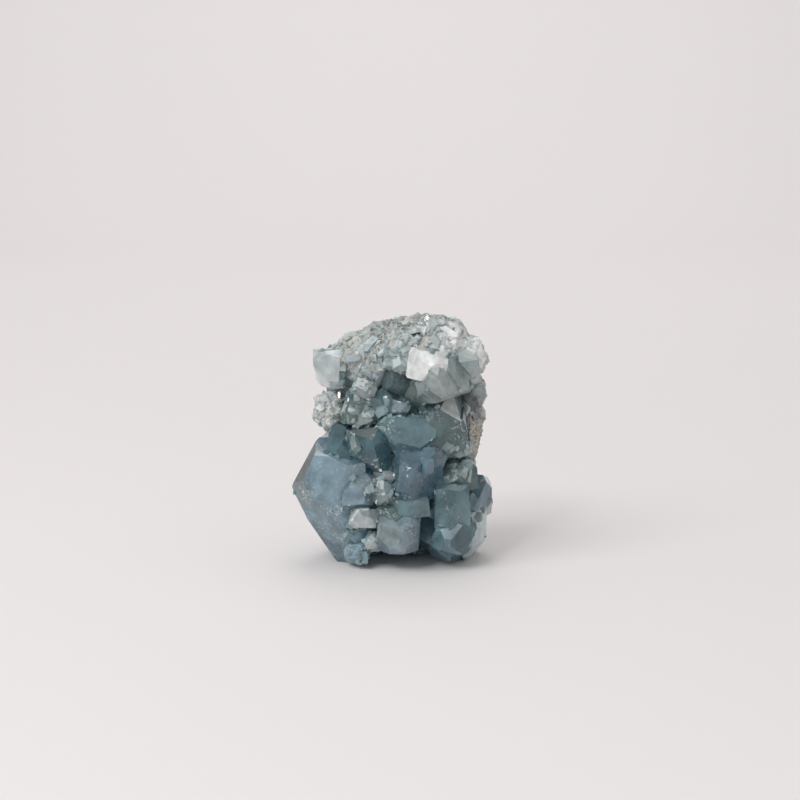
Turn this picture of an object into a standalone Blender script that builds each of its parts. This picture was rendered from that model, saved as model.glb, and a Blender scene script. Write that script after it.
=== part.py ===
"""Rough celestite: a stone of intergrown blue crystals on the pale, granular rock they grew from.

Units are metres and +Z is up. The stone stands on three small flats, and the origin is on the
surface under it, below the middle of its outline. +Y points away from the side that shows best.
"""

import math
import random
from collections import namedtuple

import bmesh
import bpy
from mathutils import Matrix, Vector

MM = 0.001
STONE_NAME = "celestite_cluster"

# A flat is (turn, rise, out): the face looks turn degrees to the right of its crystal's front
# and rise degrees up, and lies out millimetres from the middle of its crystal or rock.
# at: the middle, in millimetres. sides: the roll of its block in degrees, and half its width
# and height. root: how far behind the middle the crystal begins. turn: how far the crystal's
# front is turned from the stone's front, in degrees to the right.
Crystal = namedtuple("Crystal", "name at sides root flats turn", defaults=(0,))

FRONT_CRYSTALS = [
    # Lower left: one big crystal that ends in a blunt wedge and carries part of the weight.
    Crystal("wing", (-13, -10, 15), (0, 11, 15.6), 16, [
        (-25, 12, 6.9), (-72, 23, 9.8), (-25, 45, 12.0), (-63, -10, 6.9), (-95, -31, 7.9),
        (-36, -30, 5.0), (25, -8, 6.2), (0, -45, 8.6), (-110, 30, 11.4), (70, -35, 10.5),
        (85, 0, 7.5), (10, 60, 12.5), (-140, 5, 14), (-160, -40, 17)]),
    # Upper left.
    Crystal("shoulder", (-14.5, -5, 46.7), (-3, 3.7, 4.6), 9, [
        (-14, 6, 4.2), (-80, -22, 3.5), (-50, 45, 4.7), (20, 60, 5.2), (-10, -45, 5), (60, 0, 4.6),
        (180, 68, 4.6)]),
    Crystal("shoulder_step", (-10.5, -6, 46), (10, 3.0, 3.6), 10, [
        (25, 10, 3), (-40, 20, 3.4), (10, -45, 3.6)]),
    # Upper right: pale crystals that overhang the front.
    Crystal("brow_white", (8.6, -13.4, 48.7), (8, 4.8, 3.7), 10, [
        (-8, 32, 4.6), (-35, -22, 4.0), (25, -25, 4.6), (-60, 35, 4.5), (40, 40, 4.8)]),
    Crystal("brow_green", (11.8, -13, 45.6), (-12, 6.2, 5.4), 12, [
        (-8, -18, 5.4), (22, 24, 5.1), (-45, -5, 6.0), (-40, -45, 5.8), (45, -35, 6.2), (55, 20, 5.8),
        (0, 60, 6)]),
    Crystal("brow_side", (18.2, -9, 47.3), (-8, 2.7, 4.5), 8, [
        (25, 5, 4.5), (20, 50, 4.6), (10, -45, 4.7), (60, 0, 4), (135, -15, 5.5), (125, 35, 5)]),
    # Middle, from the left to the tall slab on the right.
    Crystal("pale_left", (-6, -10.5, 42.6), (20, 3.0, 2.5), 8, [
        (-15, 20, 3.4), (20, -15, 3.3), (-20, -45, 3.2), (50, 35, 3.5)]),
    Crystal("dark_recess", (1.2, -7, 45), (-20, 3.8, 5), 8, [
        (-45, 10, 4.2), (35, 5, 3.8), (0, 50, 4.7), (0, -40, 5)]),
    Crystal("speckled", (7, -7, 40.5), (35, 4, 3), 8, [(-30, -20, 3.5), (30, 20, 3)]),
    Crystal("green_left", (-7.5, -9.5, 38.0), (12, 4, 4.2), 9, [
        (-25, 15, 4.2), (25, 0, 4), (0, 50, 4.0), (0, -50, 5), (-55, 35, 4.8)]),
    Crystal("green_right", (-1.8, -9.5, 38.8), (-15, 3.6, 3.8), 9, [
        (-15, -10, 4), (25, 20, 3.9), (0, 55, 3.8), (0, -45, 4.4)]),
    Crystal("white_tip", (-6.2, -13, 35.9), (-20, 2.5, 1.3), 6, [
        (0, 30, 1.5), (-55, 20, 1.9), (60, 20, 1.8)]),
    Crystal("small_clear", (1.8, -12.5, 38), (15, 2.1, 2.0), 7, [
        (-20, 15, 2.4), (25, 5, 2.3), (0, 50, 2.6), (0, -45, 2.7)]),
    Crystal("roof", (4.4, -11, 32.4), (-3, 6.6, 4.2), 12, [
        (-18, 12, 6.2), (18, 8, 6.2), (0, 50, 6.2), (-5, -50, 6.2), (-60, 10, 7), (62, 5, 7),
        (-50, -35, 6.3), (50, -35, 6.2), (45, 45, 6.6)]),
    Crystal("slab", (12.8, -8, 31.3), (-6, 5.7, 8.6), 10, [
        (12, 4, 5.3), (35, 35, 6.8), (-50, 20, 8), (0, -35, 8), (-20, 55, 8.6), (60, -25, 8.1),
        (80, 22, 6.0)]),
    Crystal("left_block", (-11.5, -9.5, 29.0), (8, 3.4, 5.0), 10, [
        (-30, 8, 5.2), (15, 5, 5), (0, 50, 6.0), (-20, -40, 5.6), (-60, 40, 4.8)]),
    Crystal("left_main", (-5.0, -10.8, 28.3), (-5, 5.0, 5.8), 10, [
        (-12, 8, 6.2), (40, -5, 5.6), (-5, -25, 6.4), (5, 48, 6.4), (-60, 0, 6.0)]),
    Crystal("dark_step", (-1.3, -9.5, 23.5), (0, 2.8, 3.6), 9, [
        (-20, 15, 5.2), (35, 0, 4.6), (0, 50, 4.6), (0, -50, 4.6)]),
    Crystal("centre", (6.5, -13.5, 23.2), (0, 5.8, 6.4), 14, [
        (-20, -2, 6.3), (22, -2, 6.4), (8, 42, 6.8), (-62, 5, 6.3), (65, 5, 6.6), (0, -35, 7.8),
        (-50, 35, 6.9), (-30, -42, 7.3), (40, -35, 6.9)]),
    # Lower middle.
    Crystal("layered", (-7.5, -12, 19), (4, 3.7, 4.3), 9, [
        (-5, 45, 4.8), (-10, -3, 5.6), (50, -5, 5), (0, -50, 5.6)]),
    Crystal("cream", (-6.5, -11.5, 12.4), (5, 3.3, 2.4), 8, [(0, 5, 5), (-50, 30, 4.6)]),
    Crystal("broken_high", (-1.5, -12, 18.5), (30, 3.0, 3.0), 8, [
        (30, 30, 4.5), (-30, 0, 4.6), (20, -50, 4.4)]),
    Crystal("broken_low", (-0.2, -12, 13.6), (-10, 3, 3), 8, [
        (-15, -15, 4.8), (35, 10, 4.6), (0, 50, 4.2)]),
    Crystal("teal_low", (4.5, -12, 15.2), (-6, 4.6, 3), 9, [(-12, 8, 4.6), (14, -8, 4.6), (0, 50, 5)]),
    Crystal("foot_pale", (1.8, -13.5, 8.9), (4, 5, 4.6), 11, [
        (-22, 0, 6.2), (25, 12, 6.2), (0, 55, 5.4), (0, -50, 6), (-55, -30, 5.8), (50, -40, 5.8),
        (60, 10, 6)]),
    # Lower right: two tips that reach the surface below, and the crystals above them.
    Crystal("right_face", (14.5, -12, 15.5), (0, 4.2, 5.2), 11, [
        (-12, 8, 5.2), (22, -4, 5.3), (0, 50, 6.2), (-60, 0, 5.4), (130, 15, 6.5)]),
    Crystal("right_foot", (14.7, -13, 8.0), (20, 4.6, 3.8), 9, [
        (-8, 25, 5), (30, -10, 5.2), (-50, 0, 5), (0, -45, 5)]),
    Crystal("tip_dark", (13, -8, 6), (0, 6.3, 6.6), 8, [
        (-60, -50, 4.0), (55, -45, 5.2), (0, -15, 4.5), (10, 40, 6)]),
    Crystal("tip_grey", (18.5, -3, 7), (0, 4.4, 7.6), 9, [
        (75, -40, 4.6), (15, -10, 4.5), (50, 0, 5), (-70, -30, 5), (130, -5, 7), (115, 35, 6.8)]),
    Crystal("right_ledge", (16, -9, 21.5), (-5, 4.6, 3), 8, [
        (5, 45, 4.0), (10, -20, 5), (55, 0, 5.2), (140, 30, 5.4), (125, -20, 5.6)]),
    Crystal("right_point", (19.8, -3.5, 15.3), (0, 4.6, 5.4), 12, [
        (20, 5, 4.6), (70, -28, 4.3), (30, 50, 5), (85, 35, 4.8), (60, 8, 4.7), (140, 20, 7)]),
]


def celestite_end(m, d):
    """The flats that end a whole crystal: celestite's m and d faces, at the angles they always have."""
    return [(-38, 0, m), (38, 0, m), (0, 51, d), (0, -51, d)]


HIDDEN_CRYSTALS = [
    # Left side.
    Crystal("left_low", (-10, 5, 9), (12, 6.5, 7), 12, celestite_end(5.5, 6.8), -105),
    Crystal("left_mid", (-11.5, 1, 27), (-20, 5, 4.5), 11, celestite_end(4.2, 4.8), -80),
    Crystal("left_far", (-11, 9, 22), (25, 5.5, 5), 11, celestite_end(4.6, 5), -115),
    Crystal("left_high", (-10.5, 3, 40), (-10, 5, 5), 10, celestite_end(4.3, 5.2), -95),
    Crystal("left_back", (-8, 10, 34), (15, 5.5, 4.5), 10, celestite_end(4.6, 4.8), -130),
    # Right side.
    Crystal("right_low", (15.5, 5, 8), (-10, 6, 6.5), 12, celestite_end(5.2, 6.2), 100),
    Crystal("right_mid", (16, 6, 20), (20, 4.5, 4.5), 11, celestite_end(4, 4.8), 110),
    Crystal("right_step", (15.6, -1.5, 35.5), (-25, 3, 2.8), 8, celestite_end(3.2, 3.4), 85),
    Crystal("right_chip", (17, -4.5, 23.5), (15, 2.6, 2.4), 8, celestite_end(2.8, 3), 70),
    Crystal("right_brow", (17, -2, 44.5), (10, 3.6, 3.2), 9, celestite_end(3.8, 4), 95),
    # Back, near the bottom, where the rind is broken away.
    Crystal("back_left", (-5, 12, 12), (20, 6, 5.5), 12, celestite_end(5.2, 5.8), 200),
    Crystal("back_right", (8, 12, 13), (-15, 6, 5), 12, celestite_end(5, 5.4), 165),
    Crystal("back_mid", (2, 13, 21), (30, 4, 4), 11, celestite_end(3.8, 4.2), 182),
]

# A rock fills a ball of these radii, and broke all round: sides flats, spread evenly and then
# shifted at random, each BREAK_DEPTH of the way out to the ball.
Rock = namedtuple("Rock", "name at radii sides seed")

ROCKS = [
    # The rock inside, which shows between the crystals.
    Rock("heart_low", (1.5, 1, 18.5), (16.5, 12, 16), 40, 3),
    Rock("heart_high", (1.5, 1, 39), (15.5, 11, 14), 40, 5),
    Rock("heart_right", (11.5, 3, 17), (6.5, 8, 8), 30, 6),
    # The cap, from left to right.
    Rock("cap_left", (-5.4, -3, 50.0), (8.6, 9.5, 6.0), 46, 9),
    Rock("cap_left_low", (-5, -7.5, 47.6), (5.5, 5, 4.8), 30, 31),
    Rock("cap_rise", (0.5, -2, 51), (9, 11, 6.9), 46, 32),
    Rock("cap_peak", (8.3, 0, 51.2), (11, 12, 8.1), 50, 8),
    Rock("cap_front", (2.5, -8.5, 50.6), (7, 5, 4.8), 34, 33),
    Rock("cap_right_high", (13, -1, 50.8), (6.5, 11, 7.3), 44, 34),
    Rock("cap_right", (17.4, -1, 49), (6.0, 9.5, 4.7), 36, 10),
    Rock("knob", (-13.8, -5, 36.6), (4.2, 5, 5.4), 40, 11),
    # The rind at the right and behind.
    Rock("rind", (18.4, 6, 33.5), (3.3, 7.5, 13), 34, 14),
    Rock("rind_bulge", (19.4, 3, 40), (3.9, 5, 4), 26, 15),
    Rock("back_high", (5, 6.5, 44), (14.5, 9.5, 10), 50, 16),
    Rock("back", (3.5, 9, 31), (15, 8, 16), 60, 18),
    Rock("back_low", (3, 9.5, 18), (12, 8, 11), 36, 19),
    Rock("back_foot", (3, 8, 6), (12, 8, 8), 34, 17),
    Rock("back_lump_high", (-2, 12, 41), (7.5, 4.5, 6), 30, 41),
    Rock("back_lump_right", (10, 12.5, 34), (7, 4.5, 7.5), 30, 42),
    Rock("back_lump_left", (-5, 12.5, 29), (7, 4.5, 6), 28, 43),
    Rock("back_lump_low", (8, 13.5, 23), (6.5, 4.5, 5.5), 28, 44),
    Rock("right_lump", (17.5, 1, 27.5), (3.4, 5, 4), 22, 45),
    # Below.
    Rock("low_rim", (-7.8, -11.5, 3.6), (3.2, 3.5, 3.1), 26, 21),
    Rock("arch_rim", (-3.2, -12, 6.8), (4.0, 3.4, 1.8), 22, 22),
]
BREAK_DEPTH = (0.84, 0.98)
BREAK_SHIFT = 0.12
GOLDEN_ANGLE = math.pi * (3 - math.sqrt(5))


def facing(turn, rise):
    """The direction that a flat looks in. The front is -Y."""
    turn = math.radians(turn)
    rise = math.radians(rise)
    level = math.cos(rise)
    return Vector((math.sin(turn) * level, -math.cos(turn) * level, math.sin(rise)))


def cut_flat(mesh, point, normal):
    """Takes off what lies beyond a plane, and closes the cut with one flat face."""
    everything = mesh.verts[:] + mesh.edges[:] + mesh.faces[:]
    cut = bmesh.ops.bisect_plane(
        mesh, geom=everything, plane_co=point, plane_no=normal, clear_outer=True, dist=1e-7
    )
    rim = [e for e in cut["geom_cut"] if isinstance(e, bmesh.types.BMEdge) and e.is_boundary]
    if rim:
        bmesh.ops.edgeloop_fill(mesh, edges=rim)


def object_from(mesh, name):
    data = bpy.data.meshes.new(name)
    bmesh.ops.recalc_face_normals(mesh, faces=mesh.faces)
    mesh.to_mesh(data)
    mesh.free()
    made = bpy.data.objects.new(name, data)
    bpy.context.scene.collection.objects.link(made)
    return made


def grow_crystal(spec):
    """A block larger than the crystal, cut down to it face by face."""
    roll, half_width, half_height = spec.sides
    sides = [(90, -roll, half_width), (-90, roll, half_width), (90, 90 - roll, half_height)]
    sides += [(-90, roll - 90, half_height), (180, 0, spec.root)]
    mesh = bmesh.new()
    bmesh.ops.create_cube(mesh, size=8 * spec.root * MM)
    for turn, rise, out in sides + spec.flats:
        normal = facing(turn, rise)
        cut_flat(mesh, normal * out * MM, normal)
    turned = Matrix.Rotation(math.radians(spec.turn), 4, "Z")
    mesh.transform(Matrix.Translation(Vector(spec.at) * MM) @ turned)
    return object_from(mesh, spec.name)


def break_rock(spec):
    """A lump of rock: a block broken off flat by flat, all round its ball."""
    chance = random.Random(spec.seed)
    mesh = bmesh.new()
    bmesh.ops.create_cube(mesh, size=4 * max(spec.radii) * MM)
    for number in range(spec.sides):
        height = 1 - (2 * number + 1) / spec.sides
        level = math.sqrt(1 - height * height)
        angle = number * GOLDEN_ANGLE
        way = Vector((level * math.cos(angle), level * math.sin(angle), height))
        way += Vector([chance.gauss(0, BREAK_SHIFT) for _ in range(3)])
        way.normalize()
        ball_reach = Vector([a * r for a, r in zip(way, spec.radii)]).length
        cut_flat(mesh, way * ball_reach * chance.uniform(*BREAK_DEPTH) * MM, way)
    mesh.transform(Matrix.Translation(Vector(spec.at) * MM))
    return object_from(mesh, spec.name)


def grow_together(pieces):
    """One solid from pieces that overlap."""
    body = pieces[0]
    grown = bpy.data.collections.new("grown_together")
    for piece in pieces[1:]:
        grown.objects.link(piece)
    union = body.modifiers.new("grown together", "BOOLEAN")
    union.operation = "UNION"
    union.operand_type = "COLLECTION"
    union.collection = grown
    union.solver = "EXACT"
    graph = bpy.context.evaluated_depsgraph_get()
    joined = bmesh.new()
    joined.from_mesh(body.evaluated_get(graph).to_mesh())
    for piece in pieces:
        bpy.data.objects.remove(piece)
    bpy.data.collections.remove(grown)
    return joined


def stand_on_floor(mesh):
    """Cuts the stone off flat where it rests, and puts the origin under its middle."""
    cut_flat(mesh, Vector((0, 0, 0)), Vector((0, 0, -1)))
    low = Vector([min(v.co[axis] for v in mesh.verts) for axis in range(3)])
    high = Vector([max(v.co[axis] for v in mesh.verts) for axis in range(3)])
    middle = (low + high) / 2
    bmesh.ops.translate(mesh, verts=mesh.verts, vec=Vector((-middle.x, -middle.y, 0)))


def celestite_material():
    material = bpy.data.materials.new("celestite")
    material.use_nodes = True
    surface = material.node_tree.nodes["Principled BSDF"]
    surface.inputs["Base Color"].default_value = (0.21, 0.30, 0.35, 1)
    surface.inputs["Roughness"].default_value = 0.2
    surface.inputs["Metallic"].default_value = 0.0
    return material


def main():
    for old in list(bpy.data.objects):
        bpy.data.objects.remove(old)
    rocks = [break_rock(rock) for rock in ROCKS]
    crystals = [grow_crystal(crystal) for crystal in FRONT_CRYSTALS + HIDDEN_CRYSTALS]
    mesh = grow_together(rocks + crystals)
    stand_on_floor(mesh)
    bmesh.ops.remove_doubles(mesh, verts=mesh.verts, dist=1e-6)
    bmesh.ops.triangulate(mesh, faces=mesh.faces)
    stone = object_from(mesh, STONE_NAME)
    stone.data.materials.append(celestite_material())


main()
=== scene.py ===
# %% [markdown]
# # Rough celestite
# A piece of rough celestite stands on a pale floor, under soft studio light. Celestite is a soft,
# heavy, blue-grey mineral. It grows as blocky crystals on the wall of a hollow in pale rock, and a
# piece broken out of that wall has clear crystals on one side and grainy rock on the other.
#
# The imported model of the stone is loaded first. It gives the size and the place of everything.

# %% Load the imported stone
import math
import random
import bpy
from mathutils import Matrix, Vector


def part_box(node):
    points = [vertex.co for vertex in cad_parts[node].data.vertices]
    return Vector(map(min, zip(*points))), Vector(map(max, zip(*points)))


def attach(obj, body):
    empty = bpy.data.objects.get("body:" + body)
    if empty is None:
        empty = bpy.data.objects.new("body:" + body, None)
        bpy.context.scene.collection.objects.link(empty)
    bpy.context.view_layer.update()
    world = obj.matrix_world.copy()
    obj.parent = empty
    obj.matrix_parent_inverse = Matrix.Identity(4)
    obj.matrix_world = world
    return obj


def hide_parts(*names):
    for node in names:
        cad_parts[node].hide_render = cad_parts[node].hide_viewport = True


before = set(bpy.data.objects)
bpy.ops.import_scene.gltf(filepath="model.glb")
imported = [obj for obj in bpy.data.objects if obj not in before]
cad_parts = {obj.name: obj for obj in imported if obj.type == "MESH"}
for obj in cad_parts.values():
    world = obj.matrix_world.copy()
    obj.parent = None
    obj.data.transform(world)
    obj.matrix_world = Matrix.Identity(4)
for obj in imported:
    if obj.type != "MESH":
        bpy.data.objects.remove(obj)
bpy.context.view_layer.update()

import zlib
from collections import namedtuple

import bpy
import numpy as np
from mathutils import Matrix, Vector, noise as lumpiness
from mathutils.bvhtree import BVHTree

MM = 0.001
STONE = "celestite_cluster"
stone_low, stone_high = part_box(STONE)
print("the stone measures, in mm:", [round(side / MM, 1) for side in stone_high - stone_low])

# %% [markdown]
# ## Working with operators
# Blender's operators act on whatever is selected. So every step here starts by selecting nothing,
# and then selects just the piece it works on.

# %% Select one piece
def switch_to(mode):
    bpy.ops.object.mode_set(mode=mode)


def select_only(*pieces):
    """Leaves these pieces selected, and the first of them active."""
    if bpy.context.object and bpy.context.object.mode != "OBJECT":
        switch_to("OBJECT")
    bpy.ops.object.select_all(action="DESELECT")
    for piece in pieces:
        piece.select_set(True)
    bpy.context.view_layer.objects.active = pieces[0]


def set_in_mesh(piece):
    """Moves a piece's place, turn and size from its object into its mesh."""
    select_only(piece)
    bpy.ops.object.transform_apply(location=True, rotation=True, scale=True)


def apply_modifier(piece, kind, **settings):
    """Adds a modifier to a piece, sets it up, and applies it."""
    select_only(piece)
    modifier = piece.modifiers.new(kind.lower(), kind)
    for name, value in settings.items():
        setattr(modifier, name, value)
    bpy.ops.object.modifier_apply(modifier=modifier.name)


def stream(name):
    """A stream of random draws of its own for each piece, the same in every run."""
    return random.Random(zlib.crc32(name.encode()))


def faces_in(pieces):
    return sum(len(piece.data.polygons) for piece in pieces)


# %% [markdown]
# ## Crystals, row by row
# Each crystal is a block with flat faces. A row gives its middle, the roll and half sizes of its
# block, how far back it roots in the rock, and its flats, in millimetres and degrees. A flat is
# (turn, rise, out): it looks turn to the right of the crystal's front and rise up, and lies out from
# the crystal's middle. The row of a crystal beside or behind ends with the turn of its own front.

# %% The rows of crystals
Crystal = namedtuple("Crystal", "name tone at sides root flats turn", defaults=(0,))

FRONT_CRYSTALS = [Crystal(*row) for row in [
    ("wing", "pale blue", (-13, -10, 15), (0, 11, 15.6), 16, [
        (-25, 12, 6.9), (-72, 23, 9.8), (-25, 45, 12.0), (-63, -10, 6.9), (-95, -31, 7.9),
        (-36, -30, 5.0), (25, -8, 6.2), (0, -45, 8.6), (-110, 30, 11.4), (70, -35, 10.5),
        (85, 0, 7.5), (10, 60, 12.5), (-140, 5, 14), (-160, -40, 17)]),
    ("shoulder", "milky", (-14.5, -5, 46.7), (-3, 3.7, 4.6), 9, [
        (-14, 6, 4.2), (-80, -22, 3.5), (-50, 45, 4.7), (20, 60, 5.2), (-10, -45, 5), (60, 0, 4.6),
        (180, 68, 4.6)]),
    ("shoulder_step", "pale green", (-10.5, -6, 46), (10, 3.0, 3.6), 10, [
        (25, 10, 3), (-40, 20, 3.4), (10, -45, 3.6)]),
    ("brow_white", "white", (8.6, -13.4, 48.7), (8, 4.8, 3.7), 10, [
        (-8, 32, 4.6), (-35, -22, 4.0), (25, -25, 4.6), (-60, 35, 4.5), (40, 40, 4.8)]),
    ("brow_green", "grey", (11.8, -13, 45.6), (-12, 6.2, 5.4), 12, [
        (-8, -18, 5.4), (22, 24, 5.1), (-45, -5, 6.0), (-40, -45, 5.8), (45, -35, 6.2), (55, 20, 5.8),
        (0, 60, 6)]),
    ("brow_side", "grey", (18.2, -9, 47.3), (-8, 2.7, 4.5), 8, [
        (25, 5, 4.5), (20, 50, 4.6), (10, -45, 4.7), (60, 0, 4), (135, -15, 5.5), (125, 35, 5)]),
    ("pale_left", "grey", (-6, -10.5, 42.6), (20, 3.0, 2.5), 8, [
        (-15, 20, 3.4), (20, -15, 3.3), (-20, -45, 3.2), (50, 35, 3.5)]),
    ("dark_recess", "slate green", (1.2, -7, 45), (-20, 3.8, 5), 8, [
        (-45, 10, 4.2), (35, 5, 3.8), (0, 50, 4.7), (0, -40, 5)]),
    ("speckled", "green", (7, -7, 40.5), (35, 4, 3), 8, [(-30, -20, 3.5), (30, 20, 3)]),
    ("green_left", "green", (-7.5, -9.5, 38.0), (12, 4, 4.2), 9, [
        (-25, 15, 4.2), (25, 0, 4), (0, 50, 4.0), (0, -50, 5), (-55, 35, 4.8)]),
    ("green_right", "teal", (-1.8, -9.5, 38.8), (-15, 3.6, 3.8), 9, [
        (-15, -10, 4), (25, 20, 3.9), (0, 55, 3.8), (0, -45, 4.4)]),
    ("white_tip", "grey", (-6.2, -13, 35.9), (-20, 2.5, 1.3), 6, [
        (0, 30, 1.5), (-55, 20, 1.9), (60, 20, 1.8)]),
    ("small_clear", "sky", (1.8, -12.5, 38), (15, 2.1, 2.0), 7, [
        (-20, 15, 2.4), (25, 5, 2.3), (0, 50, 2.6), (0, -45, 2.7)]),
    ("roof", "pale teal", (4.4, -11, 32.4), (-3, 6.6, 4.2), 12, [
        (-18, 12, 6.2), (18, 8, 6.2), (0, 50, 6.2), (-5, -50, 6.2), (-60, 10, 7), (62, 5, 7),
        (-50, -35, 6.3), (50, -35, 6.2), (45, 45, 6.6)]),
    ("slab", "slate green", (12.8, -8, 31.3), (-6, 5.7, 8.6), 10, [
        (12, 4, 5.3), (35, 35, 6.8), (-50, 20, 8), (0, -35, 8), (-20, 55, 8.6), (60, -25, 8.1),
        (80, 22, 6.0)]),
    ("left_block", "deep teal", (-11.5, -9.5, 29.0), (8, 3.4, 5.0), 10, [
        (-30, 8, 5.2), (15, 5, 5), (0, 50, 6.0), (-20, -40, 5.6), (-60, 40, 4.8)]),
    ("left_main", "deep teal", (-5.0, -10.8, 28.3), (-5, 5.0, 5.8), 10, [
        (-12, 8, 6.2), (40, -5, 5.6), (-5, -25, 6.4), (5, 48, 6.4), (-60, 0, 6.0)]),
    ("dark_step", "milky", (-1.3, -9.5, 23.5), (0, 2.8, 3.6), 9, [
        (-20, 15, 5.2), (35, 0, 4.6), (0, 50, 4.6), (0, -50, 4.6)]),
    ("centre", "slate", (6.5, -13.5, 23.2), (0, 5.8, 6.4), 14, [
        (-20, -2, 6.3), (22, -2, 6.4), (8, 42, 6.8), (-62, 5, 6.3), (65, 5, 6.6), (0, -35, 7.8),
        (-50, 35, 6.9), (-30, -42, 7.3), (40, -35, 6.9)]),
    ("layered", "pale blue", (-7.5, -12, 19), (4, 3.7, 4.3), 9, [
        (-5, 45, 4.8), (-10, -3, 5.6), (50, -5, 5), (0, -50, 5.6)]),
    ("cream", "milky", (-6.5, -11.5, 12.4), (5, 3.3, 2.4), 8, [(0, 5, 5), (-50, 30, 4.6)]),
    ("broken_high", "pale green", (-1.5, -12, 18.5), (30, 3.0, 3.0), 8, [
        (30, 30, 4.5), (-30, 0, 4.6), (20, -50, 4.4)]),
    ("broken_low", "green", (-0.2, -12, 13.6), (-10, 3, 3), 8, [
        (-15, -15, 4.8), (35, 10, 4.6), (0, 50, 4.2)]),
    ("teal_low", "pale teal", (4.5, -12, 15.2), (-6, 4.6, 3), 9, [
        (-12, 8, 4.6), (14, -8, 4.6), (0, 50, 5)]),
    ("foot_pale", "sky", (1.8, -13.5, 8.9), (4, 5, 4.6), 11, [
        (-22, 0, 6.2), (25, 12, 6.2), (0, 55, 5.4), (0, -50, 6), (-55, -30, 5.8), (50, -40, 5.8),
        (60, 10, 6)]),
    ("right_face", "teal", (14.5, -12, 15.5), (0, 4.2, 5.2), 11, [
        (-12, 8, 5.2), (22, -4, 5.3), (0, 50, 6.2), (-60, 0, 5.4), (130, 15, 6.5)]),
    ("right_foot", "pale teal", (14.7, -13, 8.0), (20, 4.6, 3.8), 9, [
        (-8, 25, 5), (30, -10, 5.2), (-50, 0, 5), (0, -45, 5)]),
    ("tip_dark", "deep teal", (13, -8, 6), (0, 6.3, 6.6), 8, [
        (-60, -50, 4.0), (55, -45, 5.2), (0, -15, 4.5), (10, 40, 6)]),
    ("tip_grey", "milky", (18.5, -3, 7), (0, 4.4, 7.6), 9, [
        (75, -40, 4.6), (15, -10, 4.5), (50, 0, 5), (-70, -30, 5), (130, -5, 7), (115, 35, 6.8)]),
    ("right_ledge", "slate green", (16, -9, 21.5), (-5, 4.6, 3), 8, [
        (5, 45, 4.0), (10, -20, 5), (55, 0, 5.2), (140, 30, 5.4), (125, -20, 5.6)]),
    ("right_point", "pale blue", (19.8, -3.5, 15.3), (0, 4.6, 5.4), 12, [
        (20, 5, 4.6), (70, -28, 4.3), (30, 50, 5), (85, 35, 4.8), (60, 8, 4.7), (140, 20, 7)]),
]]


def tip(m, d):
    """The tip of a whole crystal: celestite's m and d faces, at the angles they always have."""
    return [(-38, 0, m), (38, 0, m), (0, 51, d), (0, -51, d)]


SIDE_AND_BACK_CRYSTALS = [Crystal(*row) for row in [
    ("left_low", "slate", (-10, 5, 9), (12, 6.5, 7), 12, tip(5.5, 6.8), -105),
    ("left_mid", "teal", (-11.5, 1, 27), (-20, 5, 4.5), 11, tip(4.2, 4.8), -80),
    ("left_far", "deep teal", (-11, 9, 22), (25, 5.5, 5), 11, tip(4.6, 5), -115),
    ("left_high", "pale blue", (-10.5, 3, 40), (-10, 5, 5), 10, tip(4.3, 5.2), -95),
    ("left_back", "teal", (-8, 10, 34), (15, 5.5, 4.5), 10, tip(4.6, 4.8), -130),
    ("right_low", "slate", (15.5, 5, 8), (-10, 6, 6.5), 12, tip(5.2, 6.2), 100),
    ("right_mid", "teal", (16, 6, 20), (20, 4.5, 4.5), 11, tip(4, 4.8), 110),
    ("right_step", "grey", (15.6, -1.5, 35.5), (-25, 3, 2.8), 8, tip(3.2, 3.4), 85),
    ("right_chip", "teal", (17, -4.5, 23.5), (15, 2.6, 2.4), 8, tip(2.8, 3), 70),
    ("right_brow", "pale green", (17, -2, 44.5), (10, 3.6, 3.2), 9, tip(3.8, 4), 95),
    ("back_left", "slate", (-5, 12, 12), (20, 6, 5.5), 12, tip(5.2, 5.8), 200),
    ("back_right", "teal", (8, 12, 13), (-15, 6, 5), 12, tip(5, 5.4), 165),
    ("back_mid", "pale blue", (2, 13, 21), (30, 4, 4), 11, tip(3.8, 4.2), 182),
]]
ROWS = FRONT_CRYSTALS + SIDE_AND_BACK_CRYSTALS
print(len(FRONT_CRYSTALS), "crystals show in front,", len(SIDE_AND_BACK_CRYSTALS), "beside and behind")

# %% [markdown]
# Cloudy crystals are almost white, and clear ones are slate blue, where one looks deep into them. A
# crystal changes its colour by one word in its row. A few flats need a word of their own, because
# they catch the light or lie in shade more than the rest of their crystal does.

# %% The colours of the crystals
TONES = {
    "white": (0.84, 0.86, 0.85),
    "milky": (0.60, 0.66, 0.67),
    "grey": (0.41, 0.47, 0.47),
    "pale blue": (0.27, 0.40, 0.47),
    "sky": (0.38, 0.49, 0.55),
    "pale teal": (0.19, 0.32, 0.36),
    "pale green": (0.33, 0.43, 0.43),
    "teal": (0.145, 0.26, 0.29),
    "green": (0.15, 0.24, 0.23),
    "slate": (0.125, 0.23, 0.30),
    "slate green": (0.15, 0.23, 0.24),
    "deep teal": (0.09, 0.19, 0.225),
    # The next tone is painted shade: it darkens flats that lie in shade, and small crystals in the
    # recess under the brow.
    "dark": (0.07, 0.12, 0.13),
    # The next tone is painted shade, for the rock and the small crystals in the groove at the right of
    # the crystals.
    "smoke": (0.20, 0.22, 0.24),
    "beige": (0.54, 0.52, 0.46),
    "rusty": (0.20, 0.16, 0.12),
}
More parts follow.
